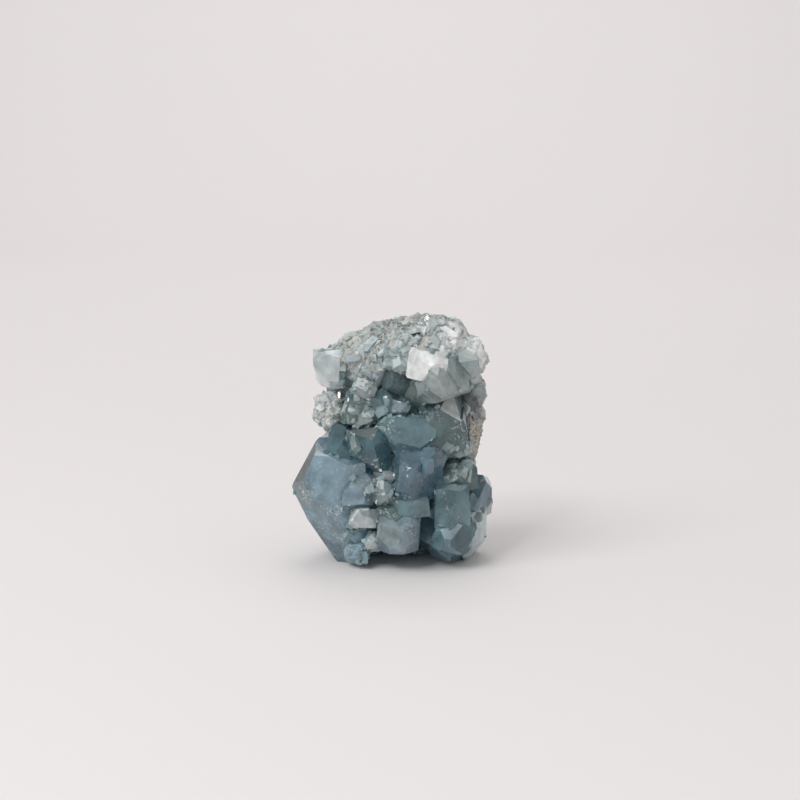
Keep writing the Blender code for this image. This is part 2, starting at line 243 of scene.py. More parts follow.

# A flat is named here by its turn and its rise. Its tone is painted light or painted shade.
FACET_LIGHT_AND_SHADE = {
    "wing": {(-72, 23): "dark", (-25, 45): "milky", (-63, -10): "deep teal"},
    "slab": {(35, 35): "white", (60, -25): "milky"},
    "centre": {(8, 42): "dark", (-62, 5): "deep teal", (22, -2): "teal"},
    "roof": {(0, 50): "dark"},
    "right_foot": {(-8, 25): "pale blue", (30, -10): "deep teal"},
    "right_point": {(20, 5): "sky", (85, 35): "milky"},
    "brow_white": {(-8, 32): "white"},
    "brow_green": {(22, 24): "milky", (-8, -18): "grey"},
    "left_main": {(5, 48): "dark", (-5, -25): "slate"},
    "layered": {(-5, 45): "sky"},
    "foot_pale": {(-22, 0): "pale green"},
}
print(len(TONES), "tones;", len(FACET_LIGHT_AND_SHADE), "crystals have a flat with a tone of its own")

# %% [markdown]
# ## Cutting a crystal from a block
# A crystal is a block cut down flat by flat, as a gem cutter would. Bisect cuts a mesh with a
# plane, throws away what lies beyond, and fills the cut with one flat face.

# %% Cut flats
CUT_THRESHOLD = 1e-7


def facing(turn, rise):
    """The direction that a flat looks in. The front is -Y."""
    turn = math.radians(turn)
    rise = math.radians(rise)
    level = math.cos(rise)
    return Vector((math.sin(turn) * level, -math.cos(turn) * level, math.sin(rise)))


def cut_flat(point, normal):
    """Cuts the mesh in edit mode off flat, beyond the plane through point that faces normal."""
    bpy.ops.mesh.select_all(action="SELECT")
    bpy.ops.mesh.bisect(
        plane_co=point, plane_no=normal, use_fill=True, clear_outer=True, threshold=CUT_THRESHOLD
    )


def cut_block(name, size, flats):
    """A block of this size, cut down by flats given as (normal, out in mm)."""
    if bpy.context.object:
        select_only(bpy.context.object)
    bpy.ops.mesh.primitive_cube_add(size=size)
    block = bpy.context.object
    block.name = name
    switch_to("EDIT")
    for normal, out in flats:
        cut_flat(normal * out * MM, normal)
    switch_to("OBJECT")
    return block


# %% Grow the crystals
# A block starts this many times larger than its crystal reaches back.
CRYSTAL_START = 8


def grow_crystal(row):
    roll, half_width, half_height = row.sides
    sides = [(90, -roll, half_width), (-90, roll, half_width), (90, 90 - roll, half_height)]
    sides += [(-90, roll - 90, half_height), (180, 0, row.root)]
    flats = [(facing(turn, rise), out) for turn, rise, out in sides + row.flats]
    crystal = cut_block(row.name, CRYSTAL_START * row.root * MM, flats)
    crystal.location = Vector(row.at) * MM
    crystal.rotation_euler.z = math.radians(row.turn)
    set_in_mesh(crystal)
    return crystal


crystals = {row.name: grow_crystal(row) for row in ROWS}
print("cut", len(crystals), "crystals, with", faces_in(crystals.values()), "faces")

# %% [markdown]
# ## Lumps of rock
# Rock has no flats of its own: it breaks. Each lump fills a ball of given radii and is broken off
# all round, by flats spread evenly and then shifted at random. Inside, the rock carries every
# crystal. On top, behind and at the right it is the outside of the stone.

# %% The rows of rocks
Rock = namedtuple("Rock", "name at radii sides seed")

ROCKS = [Rock(*row) for row in [
    ("heart_low", (1.5, 1, 18.5), (16.5, 12, 16), 40, 3),
    ("heart_high", (1.5, 1, 39), (15.5, 11, 14), 40, 5),
    ("heart_right", (11.5, 3, 17), (6.5, 8, 8), 30, 6),
    ("cap_left", (-5.4, -3, 50.0), (8.6, 9.5, 6.0), 46, 9),
    ("cap_left_low", (-5, -7.5, 47.6), (5.5, 5, 4.8), 30, 31),
    ("cap_rise", (0.5, -2, 51), (9, 11, 6.9), 46, 32),
    ("cap_peak", (8.3, 0, 51.2), (11, 12, 8.1), 50, 8),
    ("cap_front", (2.5, -8.5, 50.6), (7, 5, 4.8), 34, 33),
    ("cap_right_high", (13, -1, 50.8), (6.5, 11, 7.3), 44, 34),
    ("cap_right", (17.4, -1, 49), (6.0, 9.5, 4.7), 36, 10),
    ("knob", (-13.8, -5, 36.6), (4.2, 5, 5.4), 40, 11),
    ("rind", (18.4, 6, 33.5), (3.3, 7.5, 13), 34, 14),
    ("rind_bulge", (19.4, 3, 40), (3.9, 5, 4), 26, 15),
    ("back_high", (5, 6.5, 44), (14.5, 9.5, 10), 50, 16),
    ("back", (3.5, 9, 31), (15, 8, 16), 60, 18),
    ("back_low", (3, 9.5, 18), (12, 8, 11), 36, 19),
    ("back_foot", (3, 8, 6), (12, 8, 8), 34, 17),
    ("back_lump_high", (-2, 12, 41), (7.5, 4.5, 6), 30, 41),
    ("back_lump_right", (10, 12.5, 34), (7, 4.5, 7.5), 30, 42),
    ("back_lump_left", (-5, 12.5, 29), (7, 4.5, 6), 28, 43),
    ("back_lump_low", (8, 13.5, 23), (6.5, 4.5, 5.5), 28, 44),
    ("right_lump", (17.5, 1, 27.5), (3.4, 5, 4), 22, 45),
    ("low_rim", (-7.8, -11.5, 3.6), (3.2, 3.5, 3.1), 26, 21),
    ("arch_rim", (-3.2, -12, 6.8), (4.0, 3.4, 1.8), 22, 22),
]]

# %% Break the rocks
BREAK_DEPTH = (0.84, 0.98)
BREAK_SHIFT = 0.12
GOLDEN_ANGLE = math.pi * (3 - math.sqrt(5))
# A block starts this many times larger than the longest radius of its lump.
ROCK_START = 4


def break_rock(row):
    chance = random.Random(row.seed)
    flats = []
    for number in range(row.sides):
        height = 1 - (2 * number + 1) / row.sides
        level = math.sqrt(1 - height * height)
        angle = number * GOLDEN_ANGLE
        way = Vector((level * math.cos(angle), level * math.sin(angle), height))
        way += Vector([chance.gauss(0, BREAK_SHIFT) for _ in range(3)])
        way.normalize()
        ball_reach = Vector([a * r for a, r in zip(way, row.radii)]).length
        flats.append((way, ball_reach * chance.uniform(*BREAK_DEPTH)))
    lump = cut_block(row.name, ROCK_START * max(row.radii) * MM, flats)
    lump.location = Vector(row.at) * MM
    set_in_mesh(lump)
    return lump


rocks = {row.name: break_rock(row) for row in ROCKS}
print("broke", len(rocks), "rocks, with", faces_in(rocks.values()), "faces")

# %% [markdown]
# The rows count from the middle of the table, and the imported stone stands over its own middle.
# The two boxes give the step between them, so nothing has to be fitted by eye.

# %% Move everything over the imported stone
def points_of(piece):
    """The places of a piece's vertices, as an array."""
    co = np.empty(len(piece.data.vertices) * 3)
    piece.data.vertices.foreach_get("co", co)
    return co.reshape(-1, 3)


blocks = [*crystals.values(), *rocks.values()]
all_points = np.concatenate([points_of(block) for block in blocks])
all_points = all_points[all_points[:, 2] >= 0]
rows_middle = Vector((all_points.min(0) + all_points.max(0)) / 2)
step = (stone_low + stone_high) / 2 - rows_middle
step.z = 0
for block in blocks:
    block.location = step
    set_in_mesh(block)
print("moved by, in mm:", [round(x / MM, 3) for x in step])

# %% [markdown]
# ## Worn edges
# No crystal out of the ground is as clean as a cut gem: its edges and corners carry small extra
# flats. The same cut as before makes them, only a little way in and each with its own tilt.
#
# Two attributes on the faces tell the material what it needs. Tint is the colour of a face, and
# chipped is how crushed it is, from 0 to 1.

# %% Colour the faces
def store_on_faces(piece, name, kind, values):
    """Gives a piece an attribute with one value for each face: a colour or a number."""
    attribute = piece.data.attributes.new(name, kind, "FACE")
    attribute.data.foreach_set("color" if kind == "FLOAT_COLOR" else "value", values.ravel())


def paint(piece, colour, chipped, chance, spread):
    """Gives each face of a piece its colour, a little lighter or darker than the next."""
    faces = len(piece.data.polygons)
    shade = np.array([chance.uniform(1 - spread, 1 + spread) for _ in range(faces)])
    colours = np.ones((faces, 4))
    colours[:, :3] = np.outer(shade, colour)
    store_on_faces(piece, "tint", "FLOAT_COLOR", colours)
    store_on_faces(piece, "chipped", "FLOAT", np.full(faces, float(chipped)))


# %% Wear the edges and corners
EDGE_DEPTHS = (0.06, 0.3)
CORNER_DEPTHS = (0.2, 1.6)


def worn_flats(mesh, chance, edges, corners):
    """Planes that take off some edges and corners of a block, each with its own small tilt."""
    middle = sum((v.co for v in mesh.vertices), Vector()) / len(mesh.vertices)
    sides = {}
    for face in mesh.polygons:
        for key in face.edge_keys:
            sides.setdefault(key, []).append(face.normal)
    flats = []
    for key in chance.sample(sorted(sides), min(edges, len(sides))):
        ends = [mesh.vertices[i].co for i in key]
        along = (ends[1] - ends[0]).normalized()
        normal = (sides[key][0] + sides[key][1] * chance.uniform(0.5, 1.6)).normalized()
        normal = (normal + along * chance.uniform(-0.05, 0.05)).normalized()
        flats.append(((ends[0] + ends[1]) / 2 - normal * chance.uniform(*EDGE_DEPTHS) * MM, normal))
    for number in chance.sample(range(len(mesh.vertices)), min(corners, len(mesh.vertices))):
        corner = mesh.vertices[number].co
        normal = (corner - middle).normalized()
        normal += Vector([chance.gauss(0, 0.3) for _ in range(3)])
        normal.normalize()
        flats.append((corner - normal * chance.uniform(*CORNER_DEPTHS) * MM, normal))
    return flats


def wear(piece, chance, edges, corners):
    flats = worn_flats(piece.data, chance, edges, corners)
    select_only(piece)
    switch_to("EDIT")
    for point, normal in flats:
        cut_flat(point, normal)
    switch_to("OBJECT")


# %% [markdown]
# ## Chips and ledges
# Celestite grows and splits in layers, so its large faces step down in ledges, and its brittle
# edges are chipped. A Boolean cuts both, with copies of two shapes: a rough little lump bites into
# an edge, and a block takes a thin layer off one side of a face. A face that a Boolean leaves
# behind keeps the attributes of the shape that cut it, so a chip shows white, as crushed crystal
# does. The MANIFOLD solver is quick, and it needs closed meshes, which all of these are.

# %% Carve with other shapes
def combine(piece, others, operation):
    """Cuts others out of a piece, or joins them to it. The others are used up."""
    group = bpy.data.collections.new("others")
    for other in others:
        group.objects.link(other)
    apply_modifier(
        piece, "BOOLEAN", operation=operation, operand_type="COLLECTION", collection=group,
        solver="MANIFOLD",
    )
    for other in others:
        bpy.data.meshes.remove(other.data)
    bpy.data.collections.remove(group)


def copy_of(template, name, placed):
    """A copy of a template with a mesh of its own, placed by a matrix."""
    copy = bpy.data.objects.new(name, template.data.copy())
    copy.data.transform(placed)
    bpy.context.scene.collection.objects.link(copy)
    return copy


def turned(way, axis="Z", up="Y"):
    """The turn that points an axis of a shape along a way."""
    return way.to_track_quat(axis, up).to_matrix().to_4x4()


# %% The two cutters
select_only(crystals["wing"])
bpy.ops.mesh.primitive_ico_sphere_add(subdivisions=1, radius=0.5)
chip_shape = bpy.context.object
roughness = stream("chip")
for vertex in chip_shape.data.vertices:
    vertex.co *= roughness.uniform(0.75, 1.2)
bpy.ops.mesh.primitive_cube_add(size=1)
block_shape = bpy.context.object
print("a chip has", faces_in([chip_shape]), "faces, a block", faces_in([block_shape]))

# %% Cut chips
CHIP_SIZES = (0.35, 1.1)


def chips_for(piece, chance, count):
    """Cutters for chips, at random places on the edges of a crystal."""
    points = piece.data.vertices
    edges = [[points[i].co for i in edge.vertices] for edge in piece.data.edges]
    lengths = [(start - end).length for start, end in edges]
    cutters = []
    for start, end in chance.choices(edges, lengths, k=count):
        place = start.lerp(end, chance.random())
        size = chance.uniform(*CHIP_SIZES) * MM
        shape = Matrix.Diagonal((size * chance.uniform(1, 2.2), size, size * chance.uniform(0.5, 1), 1))
        turn = turned(end - start, "X", "Z")
        roll = Matrix.Rotation(chance.uniform(0, 6.28), 4, "X")
        cutter = copy_of(chip_shape, "chip", Matrix.Translation(place) @ turn @ roll @ shape)
        paint(cutter, TONES["white"], 1, chance, 0.1)
        cutters.append(cutter)
    return cutters


# %% Cut ledges
LARGE_FACE = 6 * MM * MM
LEDGE_DEPTHS = (0.12, 0.45)
# The cutting block is this many times wider than the face, to reach past its far side.
LEDGE_REACH = 2.2


def ledges_for(piece, tone, chance, count):
    """Cutters that take a thin layer off one side of a large face, and leave a ledge."""
    large = [face for face in piece.data.polygons if face.area > LARGE_FACE]
    cutters = []
    for _ in range(count if large else 0):
        face = chance.choices(large, [f.area for f in large])[0]
        turn = turned(face.normal) @ Matrix.Rotation(chance.uniform(0, 2 * math.pi), 4, "Z")
        width = math.sqrt(face.area)
        size = LEDGE_REACH * width
        depth = chance.uniform(*LEDGE_DEPTHS) * MM
        aside = size / 2 + chance.uniform(-0.1, 0.35) * width
        inwards = Matrix.Translation((aside, 0, size / 2 - depth))
        placed = Matrix.Translation(face.center) @ turn @ inwards @ Matrix.Scale(size, 4)
        cutter = copy_of(block_shape, "ledge", placed)
        paint(cutter, TONES[tone], 0.25, chance, 0.12)
        cutters.append(cutter)
    return cutters


# %% [markdown]
# ## Finishing each crystal
# Most crystals are worn, stepped and chipped alike, and the tables name those that differ. The wing,
# the large crystal at the left, keeps its corners, and the broken ones low down are full of ledges.

# %% How each crystal is finished
USUAL_LEDGES = 3
LEDGES = {
    "layered": 6, "broken_high": 7, "broken_low": 6, "foot_pale": 5, "brow_white": 9, "speckled": 4,
    "cream": 4, "pale_left": 5, "brow_green": 4,
}
# How many edges and how many corners are worn off.
USUAL_WEAR = (8, 6)
WEAR = {"wing": (8, 0), "shoulder": (6, 2)}
CHIPS_IN_FRONT = 5
CHIPS_ELSEWHERE = 3
# The pale tones come from cloudy crystal, which scatters light much as a chip does.
CLOUDED = {"white": 0.6, "milky": 0.5, "grey": 0.25}
# A face belongs to a flat if the cosine of the angle between their directions is above this.
SAME_WAY = 0.995


def paint_facets(piece, row, chance):
    """Gives the named flats of a crystal a colour of their own: painted light or painted shade."""
    tint = piece.data.attributes["tint"].data
    for (turn, rise), tone in FACET_LIGHT_AND_SHADE.get(row.name, {}).items():
        way = facing(turn + row.turn, rise)
        for face in piece.data.polygons:
            if face.normal.dot(way) > SAME_WAY:
                shade = chance.uniform(0.9, 1.1)
                tint[face.index].color = [part * shade for part in TONES[tone]] + [1]


def finish_crystal(row):
    piece = crystals[row.name]
    chance = stream(row.name)
    chips = CHIPS_IN_FRONT if row in FRONT_CRYSTALS else CHIPS_ELSEWHERE
    wear(piece, chance, *WEAR.get(row.name, USUAL_WEAR))
    paint(piece, TONES[row.tone], CLOUDED.get(row.tone, 0), chance, 0.12)
    paint_facets(piece, row, chance)
    cutters = ledges_for(piece, row.tone, chance, LEDGES.get(row.name, USUAL_LEDGES))
    cutters += chips_for(piece, chance, chips)
    combine(piece, cutters, "DIFFERENCE")


for row in ROWS:
    finish_crystal(row)
print("the finished crystals have", faces_in(crystals.values()), "faces")

# %% [markdown]
# ## One mass of crystal
# The crystals grew into each other, so they are joined in one closed solid. Only then does light
# bend once as it enters and once as it leaves, as it does in the real stone.

# %% Join the crystals
crystal_mass = crystals[ROWS[0].name]
crystal_mass.name = "crystals"
combine(crystal_mass, [crystals[row.name] for row in ROWS[1:]], "UNION")
print("one mass of crystal, with", faces_in([crystal_mass]), "faces")

# %% [markdown]
# ## The grainy rock
# The lumps are joined, melted together by a voxel remesh, and then roughened by textures that push
# the surface in and out: large bumps, pits of about two millimetres, and fine grit. The stone stands
# on the table, so what would lie below it is cut off with one big block.

# %% Make the rock
VOXEL = 0.4 * MM


def cut_off_below_floor(piece):
    """Takes away what lies below Z = 0."""
    side = 200 * MM
    lowered = Matrix.Translation((0, 0, -side / 2)) @ Matrix.Scale(side, 4)
    combine(piece, [copy_of(block_shape, "below", lowered)], "DIFFERENCE")


def push_by(piece, name, kind, size, strength, **settings):
    """Pushes the surface of a piece in and out by a texture with features of this size."""
    texture = bpy.data.textures.new(name, kind)
    texture.noise_scale = size
    for key, value in settings.items():
        setattr(texture, key, value)
    apply_modifier(piece, "DISPLACE", texture=texture, strength=strength, mid_level=0.5)


select_only(*rocks.values())
bpy.ops.object.join()
rock = bpy.context.object
rock.name = "rock"
apply_modifier(rock, "REMESH", mode="VOXEL", voxel_size=VOXEL)
push_by(rock, "bumps", "CLOUDS", 4.0 * MM, 1.2 * MM)
push_by(rock, "pits", "VORONOI", 1.8 * MM, 0.9 * MM, distance_metric="CHEBYCHEV")
push_by(rock, "grit", "CLOUDS", 0.6 * MM, 0.55 * MM)
cut_off_below_floor(rock)
bpy.ops.object.shade_smooth()
print("the rock has", faces_in([rock]), "faces")

# %% [markdown]
# The rock is stained: whiter at the right of the cap, speckled brown on top, beige down the right
# side, and blue-green inside, where it shows through the crystals. In the groove at the right of the
# crystals it is darkened by painted shade. Each zone is a ball with a tone, and later zones lie over
# earlier ones. A little noise makes their borders lumpy, as a stain's are.

# %% Stain the rock
RockZone = namedtuple("RockZone", "at radius tone speckled")

ROCK_ZONES = [RockZone(*row) for row in [
    ((0, 0, 6), 17, "teal", 0.0),
    ((0, -8, 28), 14, "teal", 0.0),
    # Painted shade: the groove at the right of the crystals is darkened.
    ((17.5, -2.5, 38), 6.5, "smoke", 0.1),
    ((22.5, 0, 40.5), 3, "grey", 0.2),
    ((21.5, 1, 31), 4, "beige", 0.9),
    ((21, 1, 27), 4, "beige", 0.9),
    ((-14, -6, 37), 6, "milky", 0.6),
    ((0, -3, 60), 9, "grey", 1.0),
    ((10, -3, 61), 7, "grey", 0.7),
    ((-9, -10, 51), 4, "beige", 1.0),
    ((16, -8, 51), 7, "white", 0.0),
    ((-6, -13, 5), 6, "pale blue", 0.1),
]]
PLAIN_ROCK = (0.56, 0.58, 0.55)
PLAIN_SPECKLED = 0.2
BORDER_LUMPS = 2.5 * MM
# In shares of a zone's radius: how far out it ends, how lumpy its border is, and how wide it fades.
ZONE_END, ZONE_LUMPS, ZONE_FADE = 1.15, 0.5, 0.3


def paint_rock(piece):
    """Lays the zones over each other, as face colours with lumpy borders."""
    centres = np.empty(len(piece.data.polygons) * 3)
    piece.data.polygons.foreach_get("center", centres)
    centres = centres.reshape(-1, 3)
    lumps = np.array([lumpiness.noise(Vector(centre) / BORDER_LUMPS) for centre in centres])
    colours = np.ones((len(centres), 4))
    colours[:, :3] = PLAIN_ROCK
    speckled = np.full(len(centres), PLAIN_SPECKLED)
    for zone in ROCK_ZONES:
        from_middle = np.linalg.norm(centres - (np.array(zone.at) * MM + step), axis=1)
        away = from_middle / (zone.radius * MM)
        share = np.clip((ZONE_END - away + lumps * ZONE_LUMPS) / ZONE_FADE, 0, 1)
        colours[:, :3] += share[:, None] * (np.array(TONES[zone.tone]) - colours[:, :3])
        speckled += share * (zone.speckled - speckled)
    store_on_faces(piece, "tint", "FLOAT_COLOR", colours)
    store_on_faces(piece, "speckled", "FLOAT", speckled)


paint_rock(rock)
print("stained the rock in", len(ROCK_ZONES), "zones")

# %% [markdown]
# ## Druse
# Between the large crystals, and over much of the rock, grows a crust of small ones, which mineral
# collectors call druse. Each small crystal is a copy of one of a few blocks. It stands out of the
# surface that it grows on, and neighbours lean much the same way. None may reach more than half a
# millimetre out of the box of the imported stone.

# %% The blocks to copy
def small_block(number):
    """A block about 1 mm across, whose top is cut to a slanted point."""
    chance = stream(f"small {number}")
    flats = []
    for side in range(4):
        sideways = facing(side * 90 + chance.uniform(-12, 12), 0)
        flats.append((sideways, chance.uniform(0.26, 0.5)))
    for _ in range(6):
        upwards = facing(chance.uniform(0, 360), chance.uniform(15, 75))
        flats.append((upwards, chance.uniform(0.24, 0.45)))
    return cut_block("small", 2 * MM, flats)


select_only(rock)
small_blocks = [small_block(number) for number in range(8)]
print(len(small_blocks), "blocks to copy, with", faces_in(small_blocks), "faces")

# %% Grow one small crystal
BOX_MARGIN = 0.5 * MM
# Small crystals whose places round to the same multiple of this lean the same way.
SHARED_LEAN = 5 * MM


def inside_box(point):
    """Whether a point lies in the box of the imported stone, give or take the margin."""
    sides = zip(stone_low, point, stone_high)
    return all(low - BOX_MARGIN <= part <= high + BOX_MARGIN for low, part, high in sides)


def grow_small(point, normal, size, colour, chipped, chance):
    """One small crystal, rooted in the surface at a point, or None if it would leave the box."""
    lean = stream("lean" + " ".join(str(round(x / SHARED_LEAN)) for x in point))
    shared = Vector([lean.gauss(0, 0.45) for _ in range(3)])
    own = Vector([chance.gauss(0, 0.2) for _ in range(3)])
    way = (Vector(normal) + shared + own).normalized()
    spin = Matrix.Rotation(lean.uniform(0, 6.28) + chance.gauss(0, 0.3), 4, "Z")
    shape = Matrix.Diagonal((size * chance.uniform(0.8, 1.3), size * chance.uniform(0.6, 1.1), size, 1))
    root = Matrix.Translation(Vector(point) + way * size * chance.uniform(-0.3, 0.05) * MM)
    placed = root @ turned(way) @ spin @ shape
    block = chance.choice(small_blocks)
    if not all(inside_box(placed @ vertex.co) for vertex in block.data.vertices):
        return None
    small = copy_of(block, "small", placed)
    paint(small, colour, chipped, chance, 0.1)
    return small


def size_between(sizes, chance):
    """A size between the two, more often near the smaller."""
    return sizes[0] + (sizes[1] - sizes[0]) * chance.random() ** 2


# %% [markdown]
# The druse grows in beds, on the rock and on the large crystals. A bed is a ball, and a row says how
# many small crystals grow within it, how large they are in millimetres, and in which tones. Their
# places are drawn at random over the triangles of the surface, and a large triangle gets more.

# %% The beds of druse
Bed = namedtuple("Bed", "at radius count sizes tones")

ROCK_BEDS = [Bed(*row) for row in [
    ((-9, -8, 50), 6.5, 80, (1.0, 3.2), ("grey", "milky", "pale green", "beige")),
    ((-3, -11, 48), 6, 80, (1.0, 3.4), ("grey", "sky", "milky", "pale green")),
    ((2, -11, 51), 6, 80, (1.0, 3.2), ("grey", "pale green", "milky")),
    ((2, -7, 56), 8, 120, (0.6, 1.8), ("grey", "beige", "rusty", "grey")),
    ((10, -9, 54), 6, 90, (0.8, 2.6), ("milky", "pale green", "grey", "white")),
    ((16, -8, 50), 7, 110, (0.9, 3.2), ("white", "milky", "white")),
    ((-14, -8, 37), 6, 90, (0.8, 2.6), ("milky", "beige", "grey")),
    # The small crystals in the groove at the right are darkened by painted shade as well.
    ((20, -2, 40), 7, 30, (0.8, 2.4), ("smoke", "grey")),
    ((20, -1, 29), 8, 70, (0.5, 1.2), ("beige", "grey", "milky")),
    ((-8, -14, 3), 4.5, 40, (0.8, 2.4), ("pale blue", "pale teal", "pale green")),
    ((-3, -14, 7), 5, 50, (0.9, 3.0), ("grey", "pale green", "milky")),
    ((21, 4, 48), 7, 100, (0.7, 2.2), ("milky", "grey", "white")),
    ((20, 12, 36), 8.5, 80, (0.8, 2.6), ("grey", "pale blue", "milky")),
    ((10, 6, 57), 9, 150, (0.6, 2.0), ("grey", "milky", "pale green")),
    ((0, 12, 48), 14, 100, (1.2, 4.2), ("milky", "grey", "pale blue", "beige")),
    ((3, 16, 32), 14, 100, (1.2, 4.2), ("grey", "pale blue", "teal", "milky")),
    ((6, 14, 10), 12, 70, (1.2, 4.2), ("grey", "pale blue", "teal")),
]]
CRYSTAL_BEDS = [Bed(*row) for row in [
    ((-8, -14, 37), 4.5, 18, (1.2, 3.4), ("green", "grey", "pale green")),
    ((-2, -14, 37), 4.5, 18, (1.2, 3.2), ("green", "pale teal", "pale green")),
    ((-2, -16, 18), 5, 46, (0.6, 1.7), ("pale green", "grey", "sky")),
    # These small crystals sit in the recess under the brow, and the dark tone among theirs is painted
    # shade.
    ((7, -14, 40), 5, 24, (0.6, 1.6), ("dark", "green", "grey")),
    ((-7, -14, 45), 4, 24, (0.8, 2.2), ("grey", "pale green", "milky")),
    ((14, -12, 24.5), 4.5, 26, (1.6, 4.2), ("slate green", "grey", "green")),
]]

# %% Grow a bed
# A tree of the faces finds the nearest one quickly.
crystal_tree = BVHTree.FromPolygons(
    [vertex.co for vertex in crystal_mass.data.vertices],
    [face.vertices[:] for face in crystal_mass.data.polygons],
)


def outside_crystal(point):
    """Whether a point lies outside the mass of crystal."""
    nearest, normal, _, _ = crystal_tree.find_nearest(point)
    return (point - nearest).dot(normal) > 0


def corners_and_normals(piece):
    """The corners of every triangle of a piece, and its normal, twice as long as its area is large."""
    mesh = piece.data
    mesh.calc_loop_triangles()
    numbers = np.empty(len(mesh.loop_triangles) * 3, dtype=int)
    mesh.loop_triangles.foreach_get("vertices", numbers)
    corners = points_of(piece)[numbers].reshape(-1, 3, 3)
    return corners, np.cross(corners[:, 1] - corners[:, 0], corners[:, 2] - corners[:, 0])


def druse_on(ground, corners, normals, bed, number):
    """Small crystals at random places on a piece, within the radius of a bed."""
    chance = stream(f"bed {number}")
    middle = np.array(Vector(bed.at) * MM + step)
    shared_tone = sum((Vector(TONES[tone]) for tone in bed.tones), Vector()) / len(bed.tones)
    within = np.linalg.norm(corners.mean(axis=1) - middle, axis=1) < bed.radius * MM
    corners, normals = corners[within], normals[within]
    areas = np.linalg.norm(normals, axis=1)
    grown = []
    for index in chance.choices(range(len(areas)), areas.tolist(), k=bed.count):
        share = sorted([chance.random(), chance.random()])
        weights = np.array([share[0], share[1] - share[0], 1 - share[1]])
        point = Vector(weights @ corners[index])
        normal = Vector(normals[index]).normalized()
        size = size_between(bed.sizes, chance)
        colour = shared_tone.lerp(Vector(TONES[chance.choice(bed.tones)]), chance.uniform(0.2, 0.6))
        if ground == crystal_mass or outside_crystal(point):
            grown.append(grow_small(point, normal, size, colour, chance.uniform(0.4, 0.9), chance))
    return grown


# %% [markdown]
# Small crystals also fill the seams where two large ones meet. A seam is an edge whose two faces
# form a hollow, and only the seams that lie in the open get any. These small crystals take their
# colour from the crystal they grow on, and hide that the large ones were pushed into each other.

# %% Grow along the seams
SEAM_CRYSTALS = 420
SEAM_SIZES = (0.8, 3.3)
# How far the middle of one face must rise over the plane of the other, to make a hollow.
SEAM_HOLLOW = 0.1 * MM
# In millimetres over the surface: where the look outwards starts, and how far it must be free.
OPEN_FROM, OPEN_TO = 0.05, 12
PALEST_IN_SEAM = TONES["pale green"]


def seams_of(piece):
    """The seams of a piece: the two faces beside each, and its two ends."""
    mesh = piece.data
    beside = {}
    for face in mesh.polygons:
        for key in face.edge_keys:
            beside.setdefault(key, []).append(face)
    seams = []
    for key, faces in beside.items():
        if len(faces) == 2 and (faces[1].center - faces[0].center).dot(faces[0].normal) > SEAM_HOLLOW:
            seams.append((faces, [mesh.vertices[i].co for i in key]))
    return seams


def in_the_open(point, way):
    """Whether nothing of the crystal stands over a point of its surface, along a way."""
    return crystal_tree.ray_cast(point + way * OPEN_FROM * MM, way, OPEN_TO * MM)[0] is None


def druse_in_seams():
    chance = stream("seams")
    tint = crystal_mass.data.attributes["tint"].data
    seams = seams_of(crystal_mass)
    lengths = [(ends[1] - ends[0]).length for _, ends in seams]
    grown = []
    while len(grown) < SEAM_CRYSTALS:
        faces, ends = chance.choices(seams, lengths)[0]
        point = ends[0].lerp(ends[1], chance.random())
        normal = (faces[0].normal + faces[1].normal).normalized()
        size = size_between(SEAM_SIZES, chance)
        if not in_the_open(point, normal):
            continue
        colour = Vector(tint[chance.choice(faces).index].color[:3]) * chance.uniform(0.75, 1.1)
        colour = Vector([min(part, limit) for part, limit in zip(colour, PALEST_IN_SEAM)])
        grown.append(grow_small(point, normal, size, colour, chance.random() * 0.5, chance))
    return grown


# %% Join the druse to the crystals
small_ones = druse_in_seams()
for ground, beds in ((rock, ROCK_BEDS), (crystal_mass, CRYSTAL_BEDS)):
    corners, normals = corners_and_normals(ground)
    for number, bed in enumerate(beds):
        small_ones += druse_on(ground, corners, normals, bed, number)
small_ones = [small for small in small_ones if small]
small_count = len(small_ones)
combine(crystal_mass, small_ones, "UNION")
cut_off_below_floor(crystal_mass)
print(small_count, "small crystals; the crystal now has", faces_in([crystal_mass]), "faces")

# %% [markdown]
# ## Materials
# A material is a small sum of sockets. The class below wraps a socket, so that sums on it can be
# written as they are on paper, and each sum adds its own Math node.

# %% Sums of sockets
class Flow:
    """What comes out of a node: a number, a colour or a vector. Sums on it add Math nodes."""

    def __init__(self, tree, socket=None):
        self.tree = tree
        self.socket = socket

    def node(self, kind, settings=None, inputs=None, out=0):
        """Adds a shader node, sets it up, and feeds its sockets by name or number."""
        made = self.tree.nodes.new("ShaderNode" + kind)
        for name, value in (settings or {}).items():
            if name == "stops":
                set_stops(made.color_ramp, value)
            else:
                setattr(made, name, value)
        for name, value in (inputs or {}).items():
            if isinstance(value, Flow):
                self.tree.links.new(value.socket, made.inputs[name])
            else:
                made.inputs[name].default_value = value
        return Flow(self.tree, made.outputs[out] if made.outputs else None)

    def work_out(self, operation, other):
        return self.node("Math", {"operation": operation}, {0: self, 1: other})

    def __add__(self, other):
        return self.work_out("ADD", other)

    def __mul__(self, other):
        return self.work_out("MULTIPLY", other)

    # 2 + flow comes to the same as flow + 2.
    __radd__ = __add__
    __rmul__ = __mul__


def set_stops(ramp, stops):
    """Gives a colour ramp these stops: (place, grey)."""
    while len(ramp.elements) < len(stops):
        ramp.elements.new(1)
    for element, (place, grey) in zip(ramp.elements, stops):
        element.position = place
        element.color = (grey, grey, grey, 1)


# %% The patterns that both materials use
def new_material(name):
    material = bpy.data.materials.new(name)
    material.use_nodes = True
    material.node_tree.nodes.clear()
    return material, Flow(material.node_tree)


def attribute(flow, name, out):
    return flow.node("Attribute", {"attribute_name": name}, out=out)


